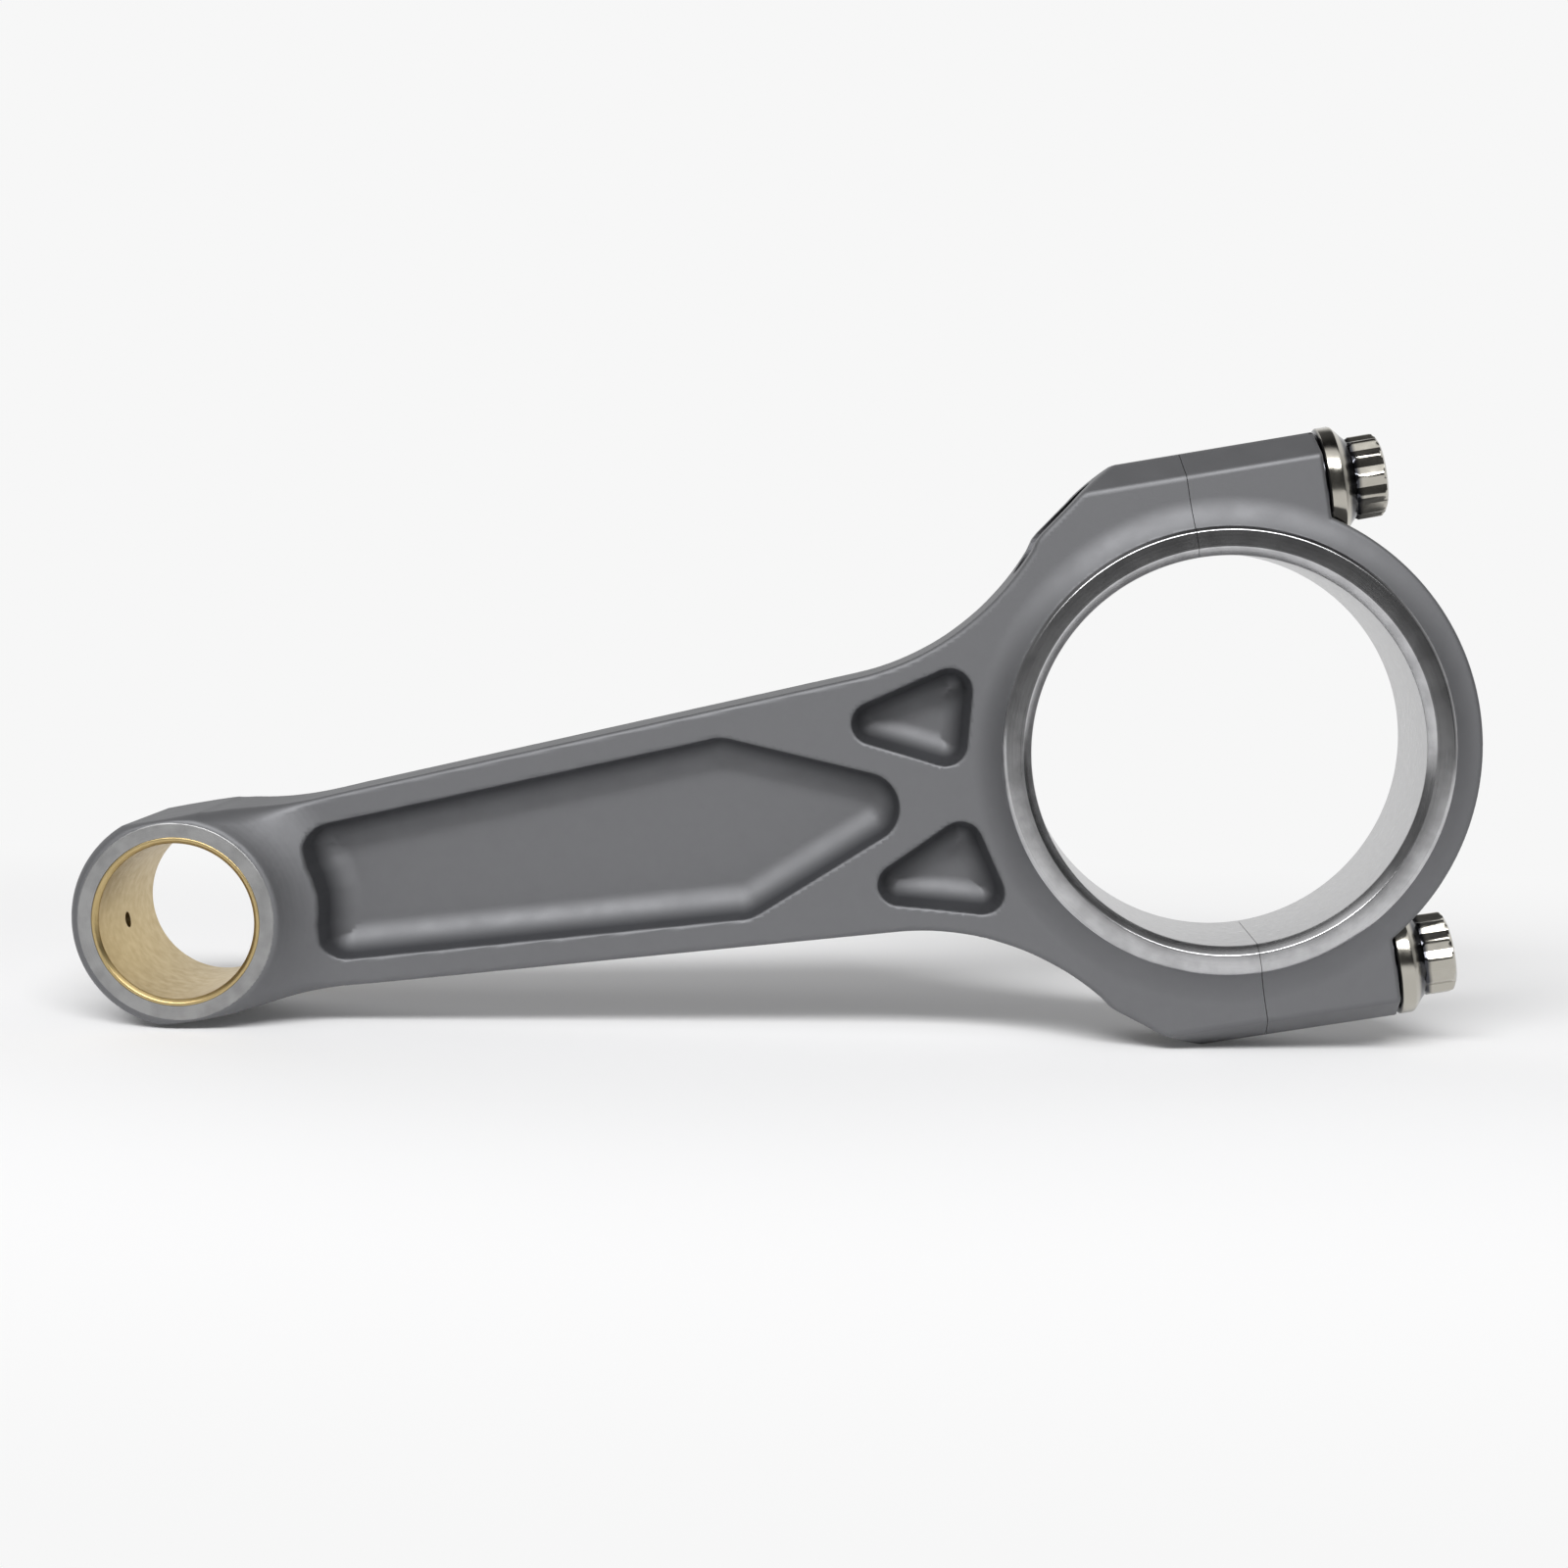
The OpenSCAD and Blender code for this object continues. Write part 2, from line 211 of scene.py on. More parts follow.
def outline_distance(points, u, v):
    """Signed distance to an outline, negative inside. It closes along v = 0, which has no edge."""
    v = v + 1e-6  # clear of the ends on the axis
    nearest = np.inf
    inside = False
    for (au, av), (bu, bv) in zip(points, points[1:]):
        du, dv = bu - au, bv - av
        t = np.clip(((u - au) * du + (v - av) * dv) / (du * du + dv * dv), 0, 1)
        nearest = np.minimum(nearest, (u - au - t * du) ** 2 + (v - av - t * dv) ** 2)
        if dv:
            inside = inside ^ (((av <= v) != (bv <= v)) & (u - au < (v - av) * du / dv))
    return np.where(inside, -1, 1) * np.sqrt(nearest)


def round_max(a, b, radius):
    """Where two fields meet, an edge rounded to a radius."""
    outside = np.hypot(np.maximum(a + radius, 0), np.maximum(b + radius, 0)) - radius
    return outside + np.minimum(np.maximum(a, b) + radius, 0)


def side_height(x):
    """Half thickness of the forging, which swells from the beam to the bosses."""
    t = np.clip((x - SWELL[0]) / (SWELL[1] - SWELL[0]), 0, 1)
    return BEAM_Y + (BOSS_Y - BEAM_Y) * t * t * (3 - 2 * t)


def ring_cove(reach, half):
    """Height of the cove round the thrust ring above a face at half. Under the ring it falls away."""
    tall = BIG_Y - RING_EDGE - half
    out = np.clip((reach - RING_R) / COVE_WIDTH, 0, 1)
    return tall * (1 - out) ** 2 - np.maximum(RING_R - UNDER_RING - reach, 0)


def bevelled(x, y, z, outline, edge, faces):
    """Outline cut to its faces, with the boss bevels."""
    lean = math.hypot(BOSS_Z - BEVEL_Z, BOSS_Y - BEVEL_Y)
    across = (BOSS_Z - BEVEL_Z) / lean
    up = (BOSS_Y - BEVEL_Y) / lean
    skin = round_max(outline_distance(outline, x, z), faces, edge)
    return round_max(skin, (y - BOSS_Y) * across + (z - BEVEL_Z) * up, BEVEL_R)


def pocket(x, y, z, outline, depth, floor_r):
    """Space of a forged pocket, with drafted walls and a rounded floor."""
    draft = math.radians(POCKET_DRAFT)
    wall = (outline_distance(outline, x, z) + (BEAM_Y - y) * math.tan(draft)) * math.cos(draft)
    return round_max(wall, BEAM_Y - depth - y, floor_r)


def rod_field(x, y, z):
    """The rod body's forging."""
    y, z = np.abs(y), np.abs(z)
    reach = np.hypot(x, z)
    eye_reach = np.hypot(x - EYE_X, z)
    half = side_height(x)
    faces = np.minimum(y - half - ring_cove(reach, half), outline_distance(EYE_PROFILE, eye_reach, y))
    edge = EDGE_R + NECK_EDGE_R * np.exp(-((x - NECK_EDGE_X) / NECK_EDGE_L) ** 2)
    solid = bevelled(x, y, z, ROD_OUTLINE, edge, faces)
    main = pocket(x, y, z, MAIN_POCKET, depth=5.4, floor_r=3.4)
    corner = pocket(x, y, z, CORNER_POCKET, depth=5.8, floor_r=2.7)
    solid = round_max(solid, -np.minimum(main, corner), POCKET_LIP)
    bush_gap = 0.02
    return np.maximum(solid, np.maximum(BORED_R - reach, BUSH_R + bush_gap - eye_reach))


def cap_field(x, y, z):
    """The cap's forging."""
    y, z = np.abs(y), np.abs(z)
    reach = np.hypot(x, z)
    solid = bevelled(x, y, z, CAP_OUTLINE, EDGE_R, y - BOSS_Y - ring_cove(reach, BOSS_Y))
    return np.maximum(solid, BORED_R - reach)


def uphill(field, points):
    """The field's gradient at points."""
    span = 0.02
    rises = [field(*(points + e).T) - field(*(points - e).T) for e in np.eye(3) * span]
    return np.stack(rises, 1) / (2 * span)


def net(field, low, high, step):
    """Corners and quads of a net over the field's surface, one corner in each cell it crosses."""
    x, y, z = (np.arange(a, b + step, step) for a, b in zip(low, high))
    value = field(x[:, None, None], y[None, :, None], z[None, None, :])
    inside = value < 0
    cells = np.zeros(np.array(value.shape) - 1, int)
    for i, j, k in np.ndindex(2, 2, 2):
        cells += inside[i:i + cells.shape[0], j:j + cells.shape[1], k:k + cells.shape[2]]
    index = np.full(cells.shape, -1)
    mixed = (cells > 0) & (cells < 8)
    index[mixed] = np.arange(mixed.sum())
    total = np.zeros((mixed.sum(), 3))
    hits = np.zeros(mixed.sum())
    quads = []
    for axis in range(3):
        ahead = np.moveaxis(inside, axis, 0)
        edges = np.argwhere(np.moveaxis(ahead[1:] != ahead[:-1], 0, axis))
        beyond = edges + np.eye(3, dtype=int)[axis]
        near, far = value[tuple(edges.T)], value[tuple(beyond.T)]
        crossing = edges + np.eye(3)[axis] * (near / (near - far))[:, None]
        ring = []
        for b, c in ((-1, -1), (0, -1), (0, 0), (-1, 0)):
            cell = edges.copy()
            cell[:, (axis + 1) % 3] += b
            cell[:, (axis + 2) % 3] += c
            ring.append(index[tuple(cell.T)])
            for k in range(3):
                total[:, k] += np.bincount(ring[-1], crossing[:, k], len(hits))
            hits += np.bincount(ring[-1], minlength=len(hits))
        ring = np.stack(ring, 1)
        quads.append(np.where((near < 0)[:, None], ring, ring[:, ::-1]))
    corners = np.array(low) + step * total / hits[:, None]
    rounds = 3       # of pulling the corners onto the surface
    flattest = 0.2   # keeps a corner from running off where the field hardly rises
    for _ in range(rounds):
        slope = uphill(field, corners)
        fall = field(*corners.T) / np.maximum((slope ** 2).sum(1), flattest)
        corners -= slope * np.clip(fall, -step, step)[:, None]
    return corners, np.concatenate(quads)


# ---------------------------------------------------------------- meshes

LEAN = Matrix.Rotation(-TILT, 4, "Y") @ Matrix.Scale(MM, 4)


def new_piece(name, corners, faces, *materials):
    """A mesh object in the rod's axes, in millimetres."""
    mesh = bpy.data.meshes.new(name)
    mesh.from_pydata(np.asarray(corners).tolist(), [], [list(map(int, f)) for f in faces])
    for material in materials:
        mesh.materials.append(material)
    piece = bpy.data.objects.new(name, mesh)
    bpy.context.scene.collection.objects.link(piece)
    return piece


def loft(name, rows, material, closed=False):
    """Joins rows of points, each a closed loop. Closed joins the last to the first."""
    rows = np.asarray(rows)
    count, size = rows.shape[:2]
    last = count if closed else count - 1
    faces = []
    for i in range(last):
        a, b = i * size, (i + 1) % count * size
        faces += [(a + j, a + (j + 1) % size, b + (j + 1) % size, b + j) for j in range(size)]
    if not closed:
        faces += [range(size), range((count - 1) * size, count * size)]
    piece = new_piece(name, rows.reshape(-1, 3), faces, material)
    work = bmesh.new()
    work.from_mesh(piece.data)
    bmesh.ops.recalc_face_normals(work, faces=work.faces)
    work.to_mesh(piece.data)
    work.free()
    return piece


def eased(points, radius):
    """The closed profile with each corner cut back and rounded."""
    points = np.asarray(points, float)
    rounded = []
    for before, here, after in zip(np.roll(points, 1, 0), points, np.roll(points, -1, 0)):
        reach = min(radius, np.linalg.norm(before - here) / 3, np.linalg.norm(after - here) / 3)
        a = here + (before - here) / np.linalg.norm(before - here) * reach
        b = here + (after - here) / np.linalg.norm(after - here) * reach
        for t in np.linspace(0, 1, 4):
            rounded.append((1 - t) ** 2 * a + 2 * t * (1 - t) * here + t * t * b)
    return np.array(rounded)


def lathe_y(name, profile, material, x=0.0, start=0, sweep=360, steps=160):
    """A closed (radius, y) profile turned about the bore axis at x."""
    closed = sweep == 360
    angles = np.radians(start + np.linspace(0, sweep, steps, endpoint=not closed))
    rows = [[(x + r * math.cos(a), y, r * math.sin(a)) for r, y in profile] for a in angles]
    return loft(name, rows, material, closed)


def lathe_x(name, profile, material, z, steps=96):
    """A closed (x, radius) profile turned about a bolt axis at z."""
    angles = np.radians(np.linspace(0, 360, steps, endpoint=False))
    rows = [[(x, r * math.sin(a), z + r * math.cos(a)) for x, r in profile] for a in angles]
    return loft(name, rows, material, closed=True)


def rod_bar(name, x0, x1, radius, y=0.0, z=0.0, steps=64):
    """A cutter: a round bar along X."""
    angles = np.radians(np.linspace(0, 360, steps, endpoint=False))
    ring = np.array([(0, y + radius * math.sin(a), z + radius * math.cos(a)) for a in angles])
    return loft(name, [ring + (x0, 0, 0), ring + (x1, 0, 0)], None)


def block(name, x0, x1):
    """A cutter: everything between two X positions."""
    wide, tall = 30, 60
    ring = np.array([(0, -wide, -tall), (0, wide, -tall), (0, wide, tall), (0, -wide, tall)])
    return loft(name, [ring + (x0, 0, 0), ring + (x1, 0, 0)], None)


def machine(piece, cutters):
    """Cuts the cutters out of a piece."""
    for cutter in cutters:
        cut = piece.modifiers.new(cutter.name, "BOOLEAN")
        cut.object = cutter
        cut.operation = "DIFFERENCE"
        cut.solver = "MANIFOLD"
    shape = piece.evaluated_get(bpy.context.evaluated_depsgraph_get())
    cut_mesh = bpy.data.meshes.new_from_object(shape)
    piece.modifiers.clear()
    piece.data = cut_mesh
    piece.data.name = piece.name


def finish_piece(piece, body, slot, *nodes, crease=30, field=None):
    """Shades a piece, leans it into the shared frame and rides it on its body."""
    mesh = piece.data
    mesh.polygons.foreach_set("use_smooth", np.ones(len(mesh.polygons), bool))
    normals = field_normals(mesh, field) if field else None
    mesh.transform(LEAN)
    if field:
        lean = np.array(LEAN.to_3x3()) / MM
        mesh.normals_split_custom_set((normals @ lean.T).tolist())
    else:
        mesh.set_sharp_from_angle(angle=math.radians(crease))
    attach(piece, body)
    if nodes:
        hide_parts(*nodes)
    return piece


def field_normals(mesh, field):
    """A normal for each face corner: the field's on the forging, the face's own where it was cut.

    Faces cut across the rod get the mesh's second material, walls drilled along it the third, which is
    painted dark as shade in the holes.
    """
    same_way = 0.6   # how far a corner's normal and the field's agree on the forging itself
    on_field = 0.25  # how near to the field its faces stay
    lengthwise = 0.5
    corners = np.zeros(len(mesh.vertices) * 3)
    mesh.vertices.foreach_get("co", corners)
    corners = corners.reshape(-1, 3)
    slope = uphill(field, corners)
    slope /= np.maximum(np.linalg.norm(slope, axis=1), 1e-9)[:, None]
    face_normals = np.zeros(len(mesh.polygons) * 3)
    mesh.polygons.foreach_get("normal", face_normals)
    face_normals = face_normals.reshape(-1, 3)
    centres = np.zeros(len(mesh.polygons) * 3)
    mesh.polygons.foreach_get("center", centres)
    sizes = np.zeros(len(mesh.polygons), int)
    mesh.polygons.foreach_get("loop_total", sizes)
    loops = np.zeros(len(mesh.loops), int)
    mesh.loops.foreach_get("vertex_index", loops)
    own = np.repeat(face_normals, sizes, 0)
    smooth = slope[loops]
    agree = (own * smooth).sum(1) > same_way
    off = np.abs(field(*centres.reshape(-1, 3).T)) > on_field
    cut = off | ~np.logical_and.reduceat(agree, np.cumsum(sizes) - sizes)
    drilled = cut & (np.abs(face_normals[:, 0]) < lengthwise)
    mesh.polygons.foreach_set("material_index", cut.astype(int) + drilled)
    return np.where((agree & ~np.repeat(cut, sizes))[:, None], smooth, own)


# ---------------------------------------------------------------- materials


class Shader:
    """A material's node tree, with its Principled shader and the rod's own axes in metres."""

    def __init__(self, name, colour, roughness, metallic=1.0):
        self.material = bpy.data.materials.new(name)
        self.material.use_nodes = True
        self.tree = self.material.node_tree
        self.surface = self.tree.nodes["Principled BSDF"]
        self.surface.inputs["Base Color"].default_value = (*colour, 1)
        self.surface.inputs["Roughness"].default_value = roughness
        self.surface.inputs["Metallic"].default_value = metallic
        place = self.add("ShaderNodeTexCoord")
        self.axes = self.add("ShaderNodeMapping", vector_type="POINT")
        self.axes.inputs["Rotation"].default_value = (0, TILT, 0)
        self.link(place.outputs["Object"], self.axes.inputs["Vector"])
        self.where = self.axes.outputs["Vector"]

    def add(self, kind, **settings):
        node = self.tree.nodes.new(kind)
        for key, value in settings.items():
            setattr(node, key, value)
        return node

    def link(self, source, target):
        self.tree.links.new(source, target)

    def noise(self, scale, detail=2.0, where=None):
        node = self.add("ShaderNodeTexNoise")
        node.inputs["Scale"].default_value = scale
        node.inputs["Detail"].default_value = detail
        self.link(where or self.where, node.inputs["Vector"])
        return node.outputs["Fac"]

    def stretched(self, scale):
        """The rod's axes scaled along each axis."""
        node = self.add("ShaderNodeMapping")
        node.inputs["Scale"].default_value = scale
        self.link(self.where, node.inputs["Vector"])
        return node.outputs["Vector"]

    def spread(self, source, low, high, start=0.3, stop=0.7):
        """Maps a value from start..stop to low..high."""
        node = self.add("ShaderNodeMapRange")
        for key, value in zip(("From Min", "From Max", "To Min", "To Max"), (start, stop, low, high)):
            node.inputs[key].default_value = value
        self.link(source, node.inputs["Value"])
        return node.outputs["Result"]

    def between(self, along, low, high, soft):
        """1 between two positions in millimetres, 0 outside them, with soft ends."""
        off = self.add("ShaderNodeMath", operation="SUBTRACT")
        off.inputs[1].default_value = (low + high) / 2 * MM
        self.link(along, off.inputs[0])
        half = (high - low) / 2
        return self.spread(self.size_of(off.outputs[0]), 1, 0, (half - soft) * MM, (half + soft) * MM)

    def size_of(self, source):
        """A value without its sign."""
        node = self.add("ShaderNodeMath", operation="ABSOLUTE")
        self.link(source, node.inputs[0])
        return node.outputs[0]

    def tint(self, source, dark, light):
        """Base colour from dark to light as source goes from 0 to 1."""
        node = self.add("ShaderNodeMix", data_type="RGBA")
        node.inputs["A"].default_value = (*dark, 1)
        node.inputs["B"].default_value = (*light, 1)
        self.link(source, node.inputs["Factor"])
        self.link(node.outputs["Result"], self.surface.inputs["Base Color"])

    def turned(self, x, scale, detail=4.0):
        """Noise that only changes with the distance from the bore axis at x: lathe marks."""
        flat = self.add("ShaderNodeVectorMath", operation="MULTIPLY_ADD")
        flat.inputs[1].default_value = (1, 0, 1)
        flat.inputs[2].default_value = (-x * MM, 0, 0)
        self.link(self.where, flat.inputs[0])
        reach = self.add("ShaderNodeVectorMath", operation="LENGTH")
        self.link(flat.outputs["Vector"], reach.inputs[0])
        line = self.add("ShaderNodeCombineXYZ")
        self.link(reach.outputs["Value"], line.inputs["X"])
        return self.noise(scale, detail, line.outputs["Vector"])

    def roughen(self, source, low, high):
        """Roughness from low to high as a noise goes from 0.3 to 0.7."""
        self.link(self.spread(source, low, high), self.surface.inputs["Roughness"])

    def bump(self, source, depth_mm, strength=0.5):
        node = self.add("ShaderNodeBump")
        node.inputs["Strength"].default_value = strength
        node.inputs["Distance"].default_value = depth_mm * MM
        self.link(source, node.inputs["Height"])
        self.link(node.outputs["Normal"], self.surface.inputs["Normal"])


def painted_pocket_wall_shade(shader):
    """1 on the steep walls of the pockets, where shade is painted into the colour, 0 elsewhere."""
    place = shader.add("ShaderNodeSeparateXYZ")
    shader.link(shader.where, place.inputs[0])
    facing = shader.add("ShaderNodeSeparateXYZ")
    shader.link(shader.add("ShaderNodeNewGeometry").outputs["Normal"], facing.inputs[0])
    steep = shader.spread(shader.size_of(facing.outputs["Y"]), 1, 0, 0.3, 0.85)
    sunk_at, clear_at = BEAM_Y + 0.8, BEAM_Y + 1.2
    sunk = shader.spread(shader.size_of(place.outputs["Y"]), 1, 0, sunk_at * MM, clear_at * MM)
    first_x, last_x = MAIN_POCKET[0][0] - 3, -34
    beam = shader.between(place.outputs["X"], first_x, last_x, soft=0.5)
    edge = shader.add("ShaderNodeMath", operation="MULTIPLY_ADD")
    edge.inputs[1].default_value = -BEAM_SLOPE
    shader.link(place.outputs["X"], edge.inputs[0])
    shader.link(shader.size_of(place.outputs["Z"]), edge.inputs[2])
    limit = BEAM_Z - BEAM_SLOPE * SHOULDER_X - 1
    inner = shader.spread(edge.outputs[0], 1, 0, limit * MM, (limit + 0.3) * MM)
    tree = shader.tree
    return product(tree, product(tree, steep, sunk), product(tree, beam, inner))


def peened_steel():
    """Shot peened forging: satin grey with fine dimples, with painted shade on the steep walls of its
    pockets.
    """
    grey = (0.193, 0.195, 0.203)
    # the dark grey is painted shade for the steep pocket walls, not a colour of the steel
    dark = (0.11, 0.112, 0.12)
    shader = Shader("peened_steel", grey, 0.63, metallic=0.92)
    shader.roughen(shader.noise(260, 3), 0.6, 0.66)
    # painted shade: the steep pocket walls are tinted towards the dark grey
    shader.tint(painted_pocket_wall_shade(shader), grey, dark)
    shader.bump(shader.noise(3200, 1), 0.012)
    return shader.material


def turned_steel(name, x, colour, smooth, rough):
    """Bright turned face with lathe marks round the bore axis at x."""
    shader = Shader(name, colour, smooth)
    marks = shader.turned(x, 5200)
    stains = shader.noise(300, 4)
    shader.tint(shader.spread(stains, 0, 1, 0.35, 0.6), [0.8 * part for part in colour], colour)
    shader.roughen(marks, smooth, rough)
    shader.bump(marks, 0.01)
    return shader.material


def honed_steel():
    """Honed crank bore: light steel with the stone's crossed scratches."""
    shader = Shader("honed_steel", (0.5, 0.5, 0.505), 0.3)
    scratches = shader.noise(900, 4, shader.stretched((1, 5, 1)))
    shader.roughen(scratches, 0.26, 0.4)
    shader.bump(scratches, 0.006)
    return shader.material


def ground_steel():
    """Cut faces of the forging: parting faces, bolt seats and holes."""
    shader = Shader("ground_steel", (0.5, 0.5, 0.51), 0.32)
    grain = shader.noise(700, 4, shader.stretched((1, 6, 1)))
    shader.roughen(grain, 0.26, 0.42)
    shader.bump(grain, 0.006)
    return shader.material


def drilled_steel():
    """Walls of the drilled holes, painted dark as shade inside the holes."""
    shader = Shader("drilled_steel", (0.07, 0.07, 0.075), 0.5)
    shader.bump(shader.noise(900, 3, shader.stretched((6, 1, 1))), 0.01)
    return shader.material


def bronze():
    """Honed bronze bushing, mottled."""
    shader = Shader("honed_bronze", (0.58, 0.45, 0.23), 0.36)
    mottle = shader.noise(700, 4)
    shader.tint(shader.spread(mottle, 0, 1), (0.53, 0.405, 0.195), (0.58, 0.45, 0.225))
    shader.roughen(mottle, 0.42, 0.33)
    shader.bump(shader.noise(2600, 2), 0.004, 0.3)
    return shader.material


def bolt_nickel():
    """Bright bolt with a warm nickel tone, with painted shade under the flange and between flange and
    head.
    """
    shader = Shader("bolt_nickel", (0.5, 0.48, 0.43), 0.16)
    place = shader.add("ShaderNodeSeparateXYZ")
    shader.link(shader.where, place.inputs[0])
    along = place.outputs["X"]
    # painted shadow round the seat and painted shade in the undercut between the flange and the head
    seat_shadow_band = shader.between(along, SEAT_X - 0.2, SEAT_X + 0.75, soft=0.15)
    undercut_shade_band = shader.between(along, UNDERCUT_X + 1.1, HEAD_X + 0.2, soft=0.3)
    dark = shader.add("ShaderNodeMath", operation="MAXIMUM")
    shader.link(seat_shadow_band, dark.inputs[0])
    shader.link(undercut_shade_band, dark.inputs[1])
    shader.tint(dark.outputs[0], (0.47, 0.45, 0.4), (0.06, 0.062, 0.07))
    shader.roughen(shader.noise(500, 3), 0.12, 0.24)
    shader.bump(shader.noise(2400, 1), 0.003, 0.3)
    return shader.material


# ---------------------------------------------------------------- the pieces


def mirrored(half):
    """The other half of a (radius, y) profile."""
    return [(r, -y) for r, y in reversed(half)]


def thrust_skin(name, side, faces, wall):
    """Machined skin of one half of the big end: bore wall, chamfers and thrust faces."""
    web = 0.45
    deep = 2.4
    ease = 0.12
    rim = RING_R + RING_PROUD
    foot = BIG_Y - RING_EDGE - deep
    half = [(CRANK_R, CRANK_CHAMFER - BIG_Y), (CRANK_R + CRANK_CHAMFER, -BIG_Y),
            (rim - RING_EDGE, -BIG_Y), (rim, RING_EDGE - BIG_Y), (rim, -foot), (CRANK_R + web, -foot)]
    profile = eased(half + mirrored(half), ease)
    short_of = 0.8 * SAW_GAP
    lag = math.degrees(short_of / CRANK_R)
    start = -90 if side > 0 else 90
    skin = lathe_y(name, profile, faces, start=start + lag, sweep=180 - 2 * lag, steps=128)
    skin.data.materials.append(wall)
    for face in skin.data.polygons:
        if math.hypot(face.center.x, face.center.z) < CRANK_R + 0.1:
            face.material_index = 1
    return skin


def eye_face(name, side, material):
    """Machined face of the small end."""
    deep = 0.6
    edge = 0.12
    inner, outer = BUSH_R - INSET, EYE_FACE_R + 0.15
    face, back = SMALL_Y * side, (SMALL_Y - deep) * side
    profile = [(inner, back), (inner, face), (EYE_FACE_R - INSET, face), (outer, face - edge * side),
               (outer, back)]
    return lathe_y(name, profile, material, EYE_X, steps=192)


def bushing(material):
    """Bushing with a chamfer at each mouth."""
    lip = 0.5
    edge = 0.15
    half = [(PIN_R, lip - SMALL_Y), (PIN_R + lip, -SMALL_Y), (BUSH_R - edge, -SMALL_Y),
            (BUSH_R, edge - SMALL_Y)]
    profile = eased(half + mirrored(half), 0.1)
    return lathe_y("bronze_bushing", profile, material, EYE_X, steps=192)


def star(angle):
    """Radius of a twelve-point head: two hexagons, a little worn at the points."""
    sixth = math.pi / 6
    worn = 0.985
    flat = HEAD_R * math.cos(sixth)
    off = (angle + sixth / 2) % sixth - sixth / 2
    return min(flat / math.cos(sixth - abs(off)), HEAD_R * worn)


# each list runs along the bolt: (distance, how far the surface lies inside a radius)
SHANK = [(-1.4, 0.9), (11.3, 0.9), (12.7, 0.03), (SEAT_X - 0.3, 0.03)]
FLANGE = [(0, 0.8), (0.45, 0.8), (0.6, 0.25), (0.85, 0), (2.5, 0), (2.8, 0.1), (3.05, 0.35), (3.5, 0.85),
          (4.1, 1.6), (4.5, 2.0), (4.75, 2.25)]
HEAD = [(4.9, 0.3), (5.1, 0.25), (5.3, 0), (8.5, 0), (8.8, 0.18), (9.1, 0.55), (9.4, 1.15),
        (9.5, 1.7)]
DISH = [(9.48, 2.0), (9.2, 2.5), (8.9, 3.3), (8.75, 5.0)]


def thread(x):
    """Radius of the rolled thread at x as a function of the angle. It fades out at both ends."""
    crest = BOLT_R - 0.08
    depth = 0.72
    root = 0.9
    fade = min(1, (x - BOLT_END) / THREAD_FADE, (THREAD_TOP - x) / THREAD_FADE)

    def radius(angle):
        phase = (x / PITCH + angle / (2 * math.pi)) % 1
        return crest - max(depth * abs(2 * phase - 1), root * (1 - fade))
    return radius


def cap_bolt(name, z, material):
    """Flanged twelve-point bolt with a rolled thread."""
    tip_r = BOLT_R - 1.3
    rings = [(BOLT_END, lambda a: tip_r)]
    rings += [(x, thread(x)) for x in np.arange(BOLT_END + 0.1, THREAD_TOP - 0.1, PITCH / 10)]
    rings += [(x, lambda a, cut=cut: BOLT_R - cut) for x, cut in SHANK]
    rings += [(SEAT_X + x, lambda a, cut=cut: FLANGE_R - cut) for x, cut in FLANGE]
    rings += [(SEAT_X + x, lambda a, cut=cut: min(HEAD_R - cut, star(a))) for x, cut in HEAD]
    rings += [(SEAT_X + x, lambda a, cut=cut: HEAD_R - cut) for x, cut in DISH]
    angles = np.linspace(0, 2 * math.pi, 144, endpoint=False)
    rows = []
    for x, radius in rings:
        reach = [radius(a) for a in angles]
        rows.append([(x, r * math.sin(a), z + r * math.cos(a)) for a, r in zip(angles, reach)])
    return loft(name, rows, material)


def sleeve(name, z, material):
    """Alignment sleeve round a bolt."""
    half = SLEEVE_L / 2
    inner = HOLE_R + RECESS_GAP
    profile = [(-half, inner), (-half, SLEEVE_R), (half, SLEEVE_R), (half, inner)]
    return lathe_x(name, eased(profile, 0.25), material, z)


def bolt_bars(name, x0, x1, radius, steps=64):
    """A cutter along each bolt axis."""
    return [rod_bar(f"{name}_{side}", x0, x1, radius, z=side * BOLT_Z, steps=steps) for side in (1, -1)]


def oil_bar():
    """A cutter for the oil hole, through the small end's tip and the bushing."""
    return rod_bar("oil", EYE_X - 20, EYE_X - 8, OIL_R)


def discard(*cutters):
    """Removes cutters that have done their work."""
    for cutter in cutters:
        bpy.data.objects.remove(cutter)


